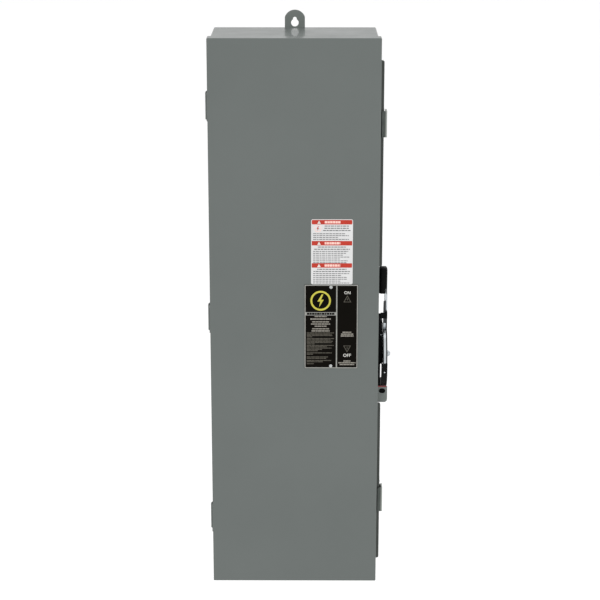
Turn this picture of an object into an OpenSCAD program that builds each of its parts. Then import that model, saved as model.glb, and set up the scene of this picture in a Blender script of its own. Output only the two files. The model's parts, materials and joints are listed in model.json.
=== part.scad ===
// Wall-hung disconnect box: an enclosed three-pole breaker worked by a handle on the right side.
// Frame: X to the right, Y into the wall, Z up. The wall is Y = 0 and the front faces -Y.
// The origin is the middle of the back panel's rear face.

/* [Enclosure] */
// Width of the door
door_w = 254; // [250:1:260]
// Height of the door
door_h = 850; // [830:2:880]
// Depth from the wall to the front of the door
box_d = 152; // [150:1:156]
// Depth of the door's turned flange
flange_d = 24; // [22:1:26]
// Thickness of the sheet steel
sheet = 2; // [1.5:0.1:2]
// Gap between the body and the door's outside, each side
side_step = 3; // [3:0.1:3.4]

/* [Handle] */
// Lever's forward lean at ON, degrees
lever_lean = 7; // [5:1:8]
// Lever's throw from ON to OFF, degrees
lever_throw = 128; // [120:1:128]
// Distance from the pivot to the top of the grip
grip_top_r = 144; // [140:0.5:145]

/* [Breaker] */
// Width of the breaker
breaker_w = 104.6; // [104:0.2:106]
// Height of the breaker
breaker_h = 190.5; // [190:0.5:194]
// Distance between the poles
pole_pitch = 34.9; // [34.6:0.1:35.2]

/* [Latches] */
// Height of each draw latch above and below the middle
latch_z = 296; // [280:1:300]

/* [Hidden] */
$fn = 48;
eps = 0.01;

// enclosure, worked out
front_y = -box_d;
door_back_y = front_y + sheet;
flange_y = front_y + flange_d;
body_w = door_w - 2 * side_step;
body_h = door_h - 2 * side_step;
gasket_t = 4;
rim_y = door_back_y + gasket_t;
rim_w = 14;
bend_r = 3;
door_bend = 1.4;
wall_x = body_w / 2;

// hinges
hinge_mid_z = -2;
hinge_step = 324;
hinge_z = [hinge_mid_z + hinge_step, hinge_mid_z, hinge_mid_z - hinge_step];
hinge_len = 40;
knuckle_r = 3.6;
hinge_x = -door_w / 2 - 0.7;
hinge_y = flange_y + 4;
pin_r = 1.6;
run_gap = 0.05;
knuckle_mid = 16;
knuckle_gap = 0.3;

// door lip on the handle side
lip_out = 5;
lip_top = [79, 390];
lip_r = 3;
lip_low = [-395, -137.4];

// data plate
plate_t = 0.8;
plate_rivet_x = 55;
plate_rivet_z = [53, -70.5];

// hanger and foot
hanger_w = 30.6;
hanger_r = 16.2;
hanger_c = 432.6;
key_big_r = 5.8;
key_big_z = 429.2;
key_small_r = 2.9;
key_small_z = 435.2;
foot_w = 64;
foot_drop = 20;
foot_hole_r = 3.55;
foot_hole_dx = 40;
foot_hole_z = -body_h / 2 - 11;

// handle
pivot_y = front_y + 55;
pivot_z = -68.2;
shaft_r = 6;
base_t = 2;
housing_x = wall_x + base_t;
housing_face = 131.6;
housing_wall = 2.6;
housing_out = 134.6;
housing_y = [-116, -52];
housing_z = [-118, 1.5];
housing_slope = 17;
housing_corner = 6;
housing_screw_y = [-110, -58];
housing_screw_z = [-112, -26];
screw_head_r = 3.6;
screw_head_h = 1.1;
raised_r = 44;
raised_low = -79;
raised_top_y = [-104, -66];
foot_y = [-100, -58];
foot_z = [-133, -119.5];
foot_x = 140.5;
lever_x = 136;
lever_t = 3.4;
cover_t = 2;
hub_out = lever_x + lever_t + cover_t;
cap_shank_l = 14;
cap_shank_r = 2.5;
hub_r = 48;
bumper_t = 2.5;
bumper_x = 132.2;
bumper_top = 4.4;
slide_x = 135.5;
slide_y = [-11.4, -8.2];
slide_low = hub_r + 8;
slide_high = 90;
slide_t = 3.8;
arm_w = 16;
strap_from = 74.6;
strap_x = [137, 141.3];
tongue_t = 2.2;
tongue_l = 8;
collar_z = [64.8, 73.5];
collar_x = 131.2;
collar_front = -14.2;
collar_wall = 2.6;
grip_x = 128;
grip_t = 13;
grip_low_r = 103;
grip_depth = 18;
bracket_y = -122;
bracket_top = -113;
bracket_low = -138.3;
bracket_out = 142.5;
bracket_side_top = -4;
lock_hole = [134.6, -120.2];
lock_hole_size = [9.9, 8.1];
bushing_r = 9;
bushing_flange_r = 12;

// drive: pinion and rack
tooth_m = 2;
pinion_n = 14;
pinion_r = tooth_m * pinion_n / 2;
rack_add = 0.8 * tooth_m;
pressure = 20;
backlash = 0.3;
rack_x = [62, 70];
rack_y = pivot_y - pinion_r;
rack_front = -121;
rack_z = [-112, 30];
web_x = 75;
web_t = 3;
web_screw_x = 88;
web_screw_z = [-105, -11];
guide_z = [-108, -20];
guide_h = 12;
slide_gap = 0.15;

// mounting pan
pan_back = -12;
pan_t = 2;
pan_x = [-75, 100];
pan_z = [-200, 110];
pan_inset = 10;
stud_r = 2.5;

// breaker
brk_x = -10;
brk_z = -50;
brk_back = pan_back - pan_t;
split_y = -70;
brk_front = -100.4;
cover_h = 134;
pocket_l = 26;
pocket_w = 25;
pocket_y = -38;
lug_r = 7.5;
poles = [-1, 0, 1];
chamber_z = [-64, 64];
chamber_back = -18;
toggle_slot = [18, 50];
toggle_tip = 61;
toggle_lean = 19;
toggle_pin_r = 3;
bar_y = -44;
bar_z = -22;
bar_r = 5;
yoke_y = -116;
yoke_t = 3;
rack_travel = pinion_r * lever_throw * PI / 180;
yoke_z = brk_z + rack_travel / 2;
button_x = 30;
button_z = -44;

// draw latches
latch_sides = [1, -1];
latch_ax = 130.2;
latch_ay = -92;
latch_off = 0.8;
latch_b = 8;
latch_bx = latch_ax - latch_off;
latch_by = latch_ay + latch_b;
latch_pin_r = 1.5;
hook_x = [134.6, 136.6];
hook_front = front_y + flange_d - sheet - 0.3;

// ---------- shared shapes ----------

// 2-D rectangle from a low to a high corner with rounded corners
module round_rect(lo, hi, r) {
    translate([lo[0] + r, lo[1]]) square([hi[0] - lo[0] - 2 * r, hi[1] - lo[1]]);
    translate([lo[0], lo[1] + r]) square([hi[0] - lo[0], hi[1] - lo[1] - 2 * r]);
    for (x = [lo[0] + r, hi[0] - r], y = [lo[1] + r, hi[1] - r])
        translate([x, y]) circle(r);
}

// 2-D stadium centred on the origin, long side along X
module stadium(l, w) {
    square([l - w, w], center = true);
    for (s = [-1, 1]) translate([s * (l - w) / 2, 0]) circle(w / 2);
}

// box between two corners
module block(lo, hi) translate(lo) cube(hi - lo);

// flat shape drawn as (X, Z), from Y = back towards the front
module front_plate(back, t) translate([0, back, 0]) rotate([90, 0, 0]) linear_extrude(t) children();

// flat shape drawn as (Y, Z), from X = x outwards
module side_plate(x, t) translate([x, 0, 0]) rotate([90, 0, 90]) linear_extrude(t) children();

// round bar along X, Y (towards the front) or Z
module rod_x(x, y, z, l, r) translate([x, y, z]) rotate([0, 90, 0]) cylinder(h = l, r = r);
module rod_y(x, y, z, l, r) translate([x, y, z]) rotate([90, 0, 0]) cylinder(h = l, r = r);
module rod_z(x, y, z, l, r) translate([x, y, z]) cylinder(h = l, r = r);

// screw seen from the front: round head on Y = y with a cross slot, shank towards the wall
module front_screw(x, y, z, head_r, head_h, shank_r, shank_l) {
    difference() {
        rod_y(x, y, z, head_h, head_r);
        block([x - head_r * 0.65, y - head_h - eps, z - 0.5], [x + head_r * 0.65, y - head_h * 0.4, z + 0.5]);
        block([x - 0.5, y - head_h - eps, z - head_r * 0.65], [x + 0.5, y - head_h * 0.4, z + head_r * 0.65]);
    }
    rod_y(x, y + shank_l, z, shank_l, shank_r);
}

// ---------- enclosure ----------

module back_panel() {
    color("#6F7671") front_plate(0, sheet)
        round_rect([-wall_x, -body_h / 2], [wall_x, body_h / 2], bend_r);
}

// keyhole hanger above the box and the two-hole foot below it
module mounting_tabs() {
    color("#6A6F6B") difference() {
        front_plate(0, sheet) {
            intersection() {
                translate([-hanger_w / 2, body_h / 2]) square([hanger_w, 60]);
                union() {
                    translate([0, hanger_c]) circle(hanger_r);
                    translate([-hanger_w / 2, body_h / 2]) square([hanger_w, hanger_c - body_h / 2]);
                }
            }
            difference() {
                round_rect([-foot_w / 2, -body_h / 2 - foot_drop], [foot_w / 2, 0], 5);
                translate([-foot_w, -body_h / 2]) square([2 * foot_w, body_h]);
            }
        }
        rod_y(0, 1, key_big_z, sheet + 2, key_big_r);
        rod_y(0, 1, key_small_z, sheet + 2, key_small_r);
        for (s = [-1, 1]) rod_y(s * foot_hole_dx / 2, 1, foot_hole_z, sheet + 2, foot_hole_r);
    }
}

module body_shell() {
    color("#6F7671") difference() {
        front_plate(-sheet, -rim_y - sheet)
            round_rect([-wall_x, -body_h / 2], [wall_x, body_h / 2], bend_r);
        front_plate(-sheet + 1, -rim_y - 2 * sheet + 1)
            round_rect([-wall_x + sheet, -body_h / 2 + sheet], [wall_x - sheet, body_h / 2 - sheet], 1);
        front_plate(rim_y + sheet + 1, sheet + 2)
            round_rect([-wall_x + rim_w, -body_h / 2 + rim_w], [wall_x - rim_w, body_h / 2 - rim_w], 4);
        rod_x(wall_x - sheet - 1, pivot_y, pivot_z, sheet + 2, bushing_r);
    }
}

module door_outline(inset, r) {
    round_rect([-door_w / 2 + inset, -door_h / 2 + inset], [door_w / 2 - inset, door_h / 2 - inset], r);
}

// door skin with its edges bent to a round of door_bend
module door_solid() {
    r = door_bend;
    front_plate(flange_y, flange_d - r) door_outline(0, r);
    front_plate(front_y + r, r)
        translate([r - door_w / 2, r - door_h / 2]) square([door_w - 2 * r, door_h - 2 * r]);
    for (s = [-1, 1]) {
        rod_z(s * (door_w / 2 - r), front_y + r, r - door_h / 2, door_h - 2 * r, r);
        rod_x(r - door_w / 2, front_y + r, s * (door_h / 2 - r), door_w - 2 * r, r);
        for (t = [-1, 1])
            translate([s * (door_w / 2 - r), front_y + r, t * (door_h / 2 - r)]) sphere(r);
    }
}

module door_panel() {
    color("#707772") difference() {
        door_solid();
        front_plate(flange_y + 1, flange_d - sheet + 1) door_outline(sheet, 1);
        for (z = plate_rivet_z) rod_y(plate_rivet_x, door_back_y + 1, z, sheet + 2, 1.6);
    }
}

// strips that the latch hooks pull on, standing out from the flange's outer face
module keeper_strips() {
    color("#4A4D4B") for (range = [lip_top, lip_low]) front_plate(flange_y, sheet) difference() {
        round_rect([door_w / 2 - lip_out, range[0]], [door_w / 2 + lip_out, range[1]], lip_r);
        translate([0, range[0] - 1]) square([door_w / 2, range[1] - range[0] + 2]);
    }
}

module door_gasket() {
    inset = side_step + 2.5;
    color("#202020") difference() {
        front_plate(rim_y, gasket_t) door_outline(inset, 4);
        front_plate(rim_y + 1, gasket_t + 2) door_outline(inset + 9, 2);
    }
}

module nameplate() {
    color("#15130F") difference() {
        front_plate(front_y, plate_t) round_rect([15.3, -74.6], [95.6, 56.7], 1.5);
        for (z = plate_rivet_z) rod_y(plate_rivet_x, front_y + 1, z, 3, 1.6);
    }
}

module nameplate_rivets() {
    color("#B9BBB8") for (z = plate_rivet_z) {
        rod_y(plate_rivet_x, front_y - plate_t, z, 0.8, 2.4);
        rod_y(plate_rivet_x, door_back_y + 0.6, z, sheet + plate_t + 0.6, 1.55);
    }
}

module warning_label() {
    color("#E6E6E4") front_plate(front_y, 0.3) round_rect([25, 57.2], [87.2, 157], 2.5);
}

// ---------- hinges ----------

module knuckle(z0, z1) {
    rod_z(hinge_x, hinge_y, z0, z1 - z0, knuckle_r);
}

module knuckle_bore() rod_z(hinge_x, hinge_y, -hinge_len, 2 * hinge_len, pin_r + run_gap);

module hinge_body_leaf(z) {
    leaf_x = -wall_x - sheet;
    color("#6A706C") translate([0, 0, z]) difference() {
        union() {
            knuckle(-knuckle_mid / 2, knuckle_mid / 2);
            block([leaf_x, hinge_y + 4.2, -hinge_len / 2], [-wall_x, hinge_y + 28, hinge_len / 2]);
            block([leaf_x, hinge_y, -knuckle_mid / 2], [-wall_x, hinge_y + 5, knuckle_mid / 2]);
        }
        knuckle_bore();
    }
}

module hinge_door_leaf(z) {
    k = knuckle_mid / 2 + knuckle_gap;
    color("#6A706C") translate([0, 0, z]) difference() {
        union() {
            for (s = [0, 1]) mirror([0, 0, s]) {
                knuckle(k, hinge_len / 2);
                block([-door_w / 2 - 1.5, flange_y - 8, k], [-door_w / 2, hinge_y, hinge_len / 2]);
            }
            block([-door_w / 2 - 1.5, flange_y - 14, -hinge_len / 2], [-door_w / 2, flange_y, hinge_len / 2]);
        }
        knuckle_bore();
    }
}

module hinge_pins() {
    color("#8A8D8C") for (z = hinge_z) {
        rod_z(hinge_x, hinge_y, z - hinge_len / 2, hinge_len, pin_r);
        rod_z(hinge_x, hinge_y, z + hinge_len / 2 + 0.1, 1.6, 2.8);
        rod_z(hinge_x, hinge_y, z + hinge_len / 2 - eps, 0.2, pin_r);
    }
}

// ---------- draw latches ----------

module latch_base(z) {
    color("#B7BAB8") translate([0, 0, z]) difference() {
        union() {
            side_plate(wall_x, sheet) round_rect([-112, -25], [-50, 25], 4);
            for (s = [0, 1]) mirror([0, 0, s])
                translate([0, 0, 14.2]) linear_extrude(2) union() {
                    translate([wall_x, latch_ay - 8]) square([latch_ax - wall_x, 16]);
                    translate([latch_ax, latch_ay]) circle(4);
                    translate([latch_ax - 4, latch_ay - 4]) square([4, 8]);
                }
        }
        rod_z(latch_ax, latch_ay, -30, 60, latch_pin_r + run_gap);
        for (y = [-106, -58]) for (s = [-1, 1]) rod_x(wall_x - 1, y, s * 19, 4, 2);
    }
}

module latch_pivot_pins() {
    color("#8A8D8C") for (s = latch_sides) {
        rod_z(latch_ax, latch_ay, s * latch_z - 17, 34, latch_pin_r);
        for (t = [0, 1]) translate([0, 0, s * latch_z]) mirror([0, 0, t])
            rod_z(latch_ax, latch_ay, 16.3, 1, 2.4);
    }
}

module latch_lever(z) {
    color("#C3C6C4") translate([0, 0, z]) difference() {
        union() {
            for (s = [0, 1]) mirror([0, 0, s])
                translate([0, 0, 11.6]) linear_extrude(2) union() {
                    translate([latch_ax, latch_ay]) circle(3.5);
                    translate([latch_bx, latch_by]) circle(3);
                    polygon([[latch_ax - 3, latch_ay], [latch_ax + 3.6, latch_ay], [134.6, latch_ay + 20],
                             [134.6, -34], [129.8, -34], [127, latch_by + 6]]);
                }
            block([132.6, latch_ay + 27, -13.6], [134.6, -34, 13.6]);
            translate([133.6, -34, -13.6]) cylinder(h = 27.2, r = 1.6);
        }
        rod_z(latch_ax, latch_ay, -30, 60, latch_pin_r + run_gap);
        rod_z(latch_bx, latch_by, -30, 60, latch_pin_r + run_gap);
    }
}

module latch_hook_pin(z) {
    color("#8A8D8C") rod_z(latch_bx, latch_by, z - 13.6, 27.2, latch_pin_r);
}

module latch_hook(z) {
    color("#C9CCCA") translate([0, 0, z]) difference() {
        union() {
            translate([0, 0, -9.5]) linear_extrude(19) union() {
                translate([latch_bx, latch_by]) circle(2.9);
                polygon([[latch_bx - 1, latch_by - 1.5], [latch_bx + 1.8, latch_by + 2], [hook_x[1], -93.5],
                         [hook_x[1], -106], [hook_x[0], -106], [hook_x[0], -94.5]]);
            }
            side_plate(hook_x[0], 2) polygon([[-100, -9.5], [-112, -19.5], [hook_front - 2, -19.5],
                                              [hook_front - 2, 19.5], [-112, 19.5], [-100, 9.5]]);
            block([129, hook_front - 2, -19.5], [hook_x[1], hook_front, 19.5]);
            rod_z(129.6, hook_front - 1.6, -19.5, 39, 1.6);
        }
        rod_z(latch_bx, latch_by, -30, 60, latch_pin_r + run_gap);
        block([120, hook_front, -25], [134.6, hook_front + 3, 25]);
    }
}

// ---------- handle ----------

module at_lever() translate([0, pivot_y, pivot_z]) rotate([lever_lean, 0, 0]) children();

module handle_bracket() {
    color("#747B76") difference() {
        union() {
            side_plate(wall_x, base_t) round_rect([bracket_y - sheet, bracket_low], [-40, bracket_side_top], 3);
            front_plate(bracket_y, sheet) union() {
                translate([wall_x, bracket_low]) square([10, bracket_top - bracket_low]);
                round_rect([wall_x, bracket_low], [bracket_out, bracket_top], 5);
                translate([bracket_out - 8, bracket_top - 8]) square([8, 8]);
            }
        }
        rod_x(wall_x - 1, pivot_y, pivot_z, base_t + 2, bushing_flange_r + 0.5);
        front_plate(bracket_y + 1, sheet + 2) translate(lock_hole) stadium(lock_hole_size[0], lock_hole_size[1]);
    }
}

// housing seen from the side: its top slopes down towards the wall
module housing_outline(inset) {
    difference() {
        round_rect([housing_y[0] + inset, housing_z[0] + inset],
                   [housing_y[1] - inset, housing_z[1] - inset], housing_corner - inset);
        translate([housing_y[0], housing_z[1] - inset / cos(housing_slope)]) rotate(-housing_slope) square([90, 40]);
    }
}

// raised part of the housing's face, clear of the bumper's sweep
module raised_outline() {
    intersection() {
        translate([pivot_y, pivot_z]) circle(raised_r);
        translate([housing_y[0], raised_low]) square([housing_y[1] - housing_y[0], 2 * raised_r]);
    }
    translate([raised_top_y[0], pivot_z + 10])
        square([raised_top_y[1] - raised_top_y[0], housing_z[1] - pivot_z - 24]);
}

module handle_housing() {
    wall = housing_wall;
    color("#17181A") difference() {
        union() {
            side_plate(housing_x, housing_face - housing_x) housing_outline(0);
            side_plate(housing_face - 1, housing_out - housing_face + 1) raised_outline();
            block([housing_x, foot_y[0], foot_z[0]], [foot_x, foot_y[1], foot_z[1]]);
            rod_x(housing_out - 1, pivot_y, pivot_z, 2, 14);
        }
        side_plate(housing_x - 1, housing_face - housing_x + 1 - wall) housing_outline(wall);
        rod_x(housing_x - 1, pivot_y, pivot_z, 14, shaft_r + 0.3);
        for (y = housing_screw_y, z = housing_screw_z) {
            rod_x(housing_x - 1, y, z, 10, 2.2);
            rod_x(housing_face - screw_head_h - 0.1, y, z, 5, screw_head_r + 0.2);
        }
    }
}

module housing_screws() {
    color("#8F9290") for (y = housing_screw_y, z = housing_screw_z) {
        rod_x(housing_face - screw_head_h - 0.1, y, z, screw_head_h, screw_head_r);
        rod_x(housing_x, y, z, housing_face - housing_x - screw_head_h, 2);
    }
}

module position_flag() {
    flag_y = bracket_y - sheet;
    color("#9A2A2C") block([128.6, flag_y - 0.6, bracket_top - 0.6], [141.4, flag_y, bracket_top + 1.2]);
}

module shaft_bushing() {
    color("#C9B27A") difference() {
        union() {
            rod_x(wall_x - sheet - 4, pivot_y, pivot_z, sheet + 4, bushing_r - 0.02);
            rod_x(wall_x, pivot_y, pivot_z, 1.6, bushing_flange_r);
        }
        rod_x(wall_x - 20, pivot_y, pivot_z, 40, shaft_r + run_gap);
    }
}

module handle_shaft() {
    color("#A9ACAB") difference() {
        rod_x(rack_x[0] - 4, pivot_y, pivot_z, hub_out - rack_x[0] + 4, shaft_r);
        rod_x(hub_out - cap_shank_l, pivot_y, pivot_z, cap_shank_l + 1, cap_shank_r + 0.02);
    }
}

module handle_lever() {
    color("#C7CACC") at_lever() difference() {
        union() {
            side_plate(lever_x, lever_t) union() {
                circle(hub_r);
                translate([-arm_w / 2, 0]) square([arm_w, strap_from + 3]);
            }
            side_plate(strap_x[0], strap_x[1] - strap_x[0]) translate([-arm_w / 2, strap_from])
                square([arm_w, grip_low_r - strap_from]);
            side_plate(strap_x[0], tongue_t) translate([-arm_w / 2, strap_from])
                square([arm_w, grip_low_r + tongue_l - strap_from]);
        }
        rod_x(lever_x - 5, 0, 0, 20, shaft_r + 0.02);
    }
}

// black skin over the hub; its collar wraps the front of the arm and guides the release slide
module lever_cover() {
    cover_x = lever_x + lever_t;
    color("#131416") at_lever() difference() {
        union() {
            side_plate(cover_x, cover_t) union() {
                circle(hub_r - 2);
                translate([-arm_w / 2, 0]) square([arm_w, strap_from - 0.1]);
                translate([collar_front, collar_z[0]])
                    square([arm_w / 2 - collar_front, collar_z[1] - collar_z[0]]);
            }
            side_plate(collar_x, cover_x + cover_t - collar_x)
                translate([collar_front, collar_z[0]]) square([collar_wall, collar_z[1] - collar_z[0]]);
        }
        rod_x(lever_x - 5, 0, 0, 20, shaft_r + 0.02);
        side_plate(lever_x, 10) bumper_outline(0.05);
    }
}

// ring sector at the lower front of the hub
module bumper_outline(grow) {
    difference() {
        circle(hub_r + bumper_t);
        circle(30 - grow);
        translate([-60, bumper_top + grow]) square([120, 70]);
        translate([-10 + grow, -60]) square([80, 80]);
    }
}

module hub_bumper() {
    color("#0F1012") at_lever() difference() {
        side_plate(bumper_x, hub_out + 0.1 - bumper_x) bumper_outline(0);
        rod_x(bumper_x - 1, 0, 0, lever_x + lever_t - bumper_x + 1, hub_r + 0.01);
    }
}

module handle_grip() {
    color("#101113") at_lever() difference() {
        union() {
            hull() for (u = [grip_low_r + 3, grip_top_r - 9], v = [-1, 1])
                translate([grip_x, v * (grip_depth / 2 - 4), u]) rotate([0, 90, 0])
                    cylinder(h = grip_t, r = 4, $fn = 32);
            hull() for (x = [grip_x + 3.2, grip_x + grip_t - 3.2], v = [-1, 1])
                translate([x, v * (grip_depth / 2 - 3.2), grip_top_r - 9]) {
                    cylinder(h = 5, r = 3.2, $fn = 32);
                    translate([0, 0, 5.8]) sphere(3.2, $fn = 32);
                }
        }
        block([strap_x[0], -arm_w / 2, grip_low_r - 3],
              [strap_x[0] + tongue_t, arm_w / 2, grip_low_r + tongue_l]);
        block([grip_x - 20, -40, -10], [grip_x + 40, 40, grip_low_r]);
    }
}

// domed screw on the handle's axis, turned from a stack of cones
module pivot_screw() {
    dome = [[1.2, 4.7], [3.2, 4.5], [5, 3.5], [6.2, 1.9]];
    color("#C4C7C6") translate([hub_out, pivot_y, pivot_z]) rotate([0, 90, 0]) {
        cylinder(h = dome[0][0], r = 6.4);
        for (k = [0:2]) translate([0, 0, dome[k][0]])
            cylinder(h = dome[k + 1][0] - dome[k][0], r1 = dome[k][1], r2 = dome[k + 1][1]);
        translate([0, 0, 0.2 - cap_shank_l]) cylinder(h = cap_shank_l, r = cap_shank_r);
    }
}

// thin bar along the front edge of the arm; it lifts to let the lever leave ON
module release_slide() {
    slide_w = slide_y[1] - slide_y[0];
    color("#55585A") at_lever() side_plate(slide_x, slide_t) union() {
        translate([slide_y[0], slide_low]) square([slide_w, slide_high - slide_low]);
        translate([slide_y[0] + slide_w / 2, slide_high]) circle(slide_w / 2);
    }
}

// ---------- drive ----------

function inv_angle(r, base) = sqrt(pow(r / base, 2) - 1) * 180 / PI - acos(base / r);

// one flank of an involute tooth, from the root to the tip
module pinion_outline() {
    base = pinion_r * cos(pressure);
    tip = pinion_r + tooth_m;
    root = pinion_r - rack_add - 0.5;
    half = 90 / pinion_n - backlash / pinion_r * 90 / PI;
    at_pitch = inv_angle(pinion_r, base);
    steps = 6;
    union() {
        circle(root);
        for (i = [0:pinion_n - 1]) rotate(i * 360 / pinion_n)
            polygon(concat(
                [[root - 1, -half * PI / 180 * (root - 1) * 1.25]],
                [for (k = [0:steps]) let (r = base + (tip - base) * k / steps,
                    a = half + at_pitch - inv_angle(r, base)) [r * cos(a), -r * sin(a)]],
                [for (k = [steps:-1:0]) let (r = base + (tip - base) * k / steps,
                    a = half + at_pitch - inv_angle(r, base)) [r * cos(a), r * sin(a)]],
                [[root - 1, half * PI / 180 * (root - 1) * 1.25]]));
    }
}

module drive_pinion() {
    color("#9B9E9D") translate([0, pivot_y, pivot_z]) difference() {
        side_plate(rack_x[0] + 0.5, rack_x[1] - rack_x[0] - 1) rotate(180) pinion_outline();
        rod_x(rack_x[0] - 5, 0, 0, 30, shaft_r + 0.02);
    }
}

module drive_rack() {
    p = PI * tooth_m;
    deep = tooth_m + 0.4;
    color("#A4A7A6") side_plate(rack_x[0], rack_x[1] - rack_x[0]) difference() {
        translate([rack_front, rack_z[0]]) square([rack_y + rack_add - rack_front, rack_z[1] - rack_z[0]]);
        for (i = [-3:6]) translate([rack_y, pivot_z + i * p])
            polygon([[-deep, -p / 4 + deep * tan(pressure)], [-deep, p / 4 - deep * tan(pressure)],
                     [rack_add + 1, p / 4 + (rack_add + 1) * tan(pressure)],
                     [rack_add + 1, -p / 4 - (rack_add + 1) * tan(pressure)]]);
    }
}

module toggle_yoke() {
    color("#B2B5B3") front_plate(yoke_y, yoke_t) difference() {
        union() {
            translate([brk_x, yoke_z - 9]) square([rack_x[0] - brk_x, 18]);
            round_rect([brk_x - 18, yoke_z - 15], [brk_x + 18, yoke_z + 15], 4);
        }
        round_rect([brk_x - 9.5, yoke_z - 6.6], [brk_x + 9.5, yoke_z + 6.6], 1);
    }
}

module drive_bracket() {
    color("#8D908E") difference() {
        union() {
            side_plate(web_x, web_t) round_rect([-124, -116], [brk_back, 0], 4);
            block([web_x, brk_back - web_t, -116], [web_x + 20, brk_back, 0]);
        }
        rod_x(web_x - 1, pivot_y, pivot_z, web_t + 2, shaft_r + run_gap);
        for (z = web_screw_z) rod_y(web_screw_x, brk_back + 1, z, web_t + 2, stud_r + 0.1);
    }
}

module rack_guides() {
    color("#D9D7CC") for (z = guide_z) difference() {
        block([rack_x[0] - 4, rack_front - 4, z], [web_x, rack_y + rack_add + 3, z + guide_h]);
        block([rack_x[0] - slide_gap, rack_front - slide_gap, z - 1],
              [rack_x[1] + slide_gap, rack_y + rack_add + slide_gap, z + guide_h + 1]);
    }
}

// ---------- mounting pan ----------

pan_corners = [for (x = [pan_x[0] + pan_inset, pan_x[1] - pan_inset],
                    z = [pan_z[0] + pan_inset, pan_z[1] - pan_inset]) [x, z]];
breaker_holes = [for (s = [-1, 1], t = [-1, 1]) [brk_x + s * pole_pitch / 2, brk_z + t * 86]];

module mounting_pan() {
    color("#C9CCC9") difference() {
        front_plate(pan_back, pan_t) round_rect([pan_x[0], pan_z[0]], [pan_x[1], pan_z[1]], 4);
        for (p = pan_corners) rod_y(p[0], pan_back + 1, p[1], pan_t + 2, stud_r + 0.1);
        for (p = breaker_holes) rod_y(p[0], pan_back + 1, p[1], pan_t + 2, 2.2);
        for (z = web_screw_z) rod_y(web_screw_x, pan_back + 1, z, pan_t + 2, stud_r + 0.1);
    }
}

module pan_standoffs() {
    color("#A9ACAA") for (p = pan_corners) difference() {
        rod_y(p[0], -sheet, p[1], -sheet - pan_back, 6);
        rod_y(p[0], -sheet + 1, p[1], 20, stud_r + 0.1);
    }
}

module pan_screws() {
    color("#B9BCBA") {
        for (p = pan_corners) front_screw(p[0], pan_back - pan_t, p[1], 4.8, 3, stud_r, 9);
        for (z = web_screw_z) front_screw(web_screw_x, brk_back - web_t, z, 4.8, 3, stud_r, 9);
    }
}

// ---------- breaker ----------

module at_breaker() translate([brk_x, 0, brk_z]) children();

module breaker_base() {
    hz = breaker_h / 2;
    color("#232427") at_breaker() difference() {
        block([-breaker_w / 2, split_y, -hz], [breaker_w / 2, brk_back, hz]);
        for (i = poles, s = [0, 1]) mirror([0, 0, s])
            block([i * pole_pitch - pocket_w / 2, split_y - 1, hz - pocket_l],
                  [i * pole_pitch + pocket_w / 2, pocket_y, hz + 1]);
        for (i = poles)
            block([i * pole_pitch - pocket_w / 2, split_y - 1, chamber_z[0]],
                  [i * pole_pitch + pocket_w / 2, chamber_back, chamber_z[1]]);
        block([-46, split_y - 1, bar_z - 8], [46, bar_y + 8, bar_z + 8]);
        rod_x(-22, split_y, 0, 44, toggle_pin_r);
        for (s = [-1, 1], t = [-1, 1]) rod_y(s * pole_pitch / 2, 0, t * 86, 80, 2.2);
    }
}

module breaker_cover() {
    color("#1B1C1F") at_breaker() difference() {
        union() {
            block([-breaker_w / 2, brk_front, -cover_h / 2], [breaker_w / 2, split_y, cover_h / 2]);
            front_plate(brk_front, 4) round_rect([-15, -31], [15, 31], 3);
        }
        block([-13.5, brk_front + 3, -36], [13.5, split_y + 1, 36]);
        front_plate(brk_front + 4, 12) round_rect([-toggle_slot[0] / 2, -toggle_slot[1] / 2],
                                                  [toggle_slot[0] / 2, toggle_slot[1] / 2], 2);
        rod_x(-22, split_y, 0, 44, toggle_pin_r);
        for (s = [-1, 1], t = [-1, 1]) {
            rod_y(s * 45, brk_front + 2.5, t * 60, 4, 3.8);
            rod_y(s * 45, split_y + 1, t * 60, 40, 1.9);
        }
        rod_y(button_x, split_y + 1, button_z, 40, 3.1);
        rod_y(button_x, split_y + 1, button_z, 27, 4.6);
    }
}

module breaker_screws() {
    color("#A5A8A6") {
        for (p = breaker_holes) front_screw(p[0], split_y, p[1], 4, 2.4, 2.1, -split_y - 8);
        at_breaker() for (s = [-1, 1], t = [-1, 1])
            front_screw(s * 45, brk_front + 2.5, t * 60, 3.6, 2, 1.8, 25);
    }
}

module breaker_toggle() {
    color("#0E0E10") translate([brk_x, split_y, brk_z]) rotate([-toggle_lean, 0, 0]) difference() {
        union() {
            rod_x(-11, 0, 0, 22, 9);
            side_plate(-8, 16) polygon([[0, -4.5], [-toggle_tip + 2, -3.6], [-toggle_tip, -2.4],
                                        [-toggle_tip, 2.4], [-toggle_tip + 2, 3.6], [0, 4.5]]);
            side_plate(-11, 22) intersection() {
                difference() {
                    circle(26);
                    circle(24);
                }
                polygon([[0, 0], [-40, -32], [-40, 32]]);
            }
        }
        rod_x(-30, 0, 0, 60, toggle_pin_r + run_gap);
    }
}

module toggle_pin() {
    color("#A9ACAB") rod_x(brk_x - 22, split_y, brk_z, 44, toggle_pin_r);
}

module contact_carrier() {
    color("#B87333") at_breaker() {
        rod_x(-45, bar_y, bar_z, 90, bar_r);
        for (i = poles) {
            block([i * pole_pitch - 5, bar_y - 2, bar_z], [i * pole_pitch + 5, bar_y + 2, bar_z + 48]);
            rod_y(i * pole_pitch, bar_y + 5, bar_z + 43, 5, 4);
        }
    }
}

module fixed_contacts() {
    color("#C07A3A") at_breaker() for (i = poles) {
        block([i * pole_pitch - 6, bar_y + 8, 12], [i * pole_pitch + 6, bar_y + 11, chamber_z[1]]);
        rod_y(i * pole_pitch, bar_y + 8, bar_z + 43, 2.9, 4);
    }
}

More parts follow.
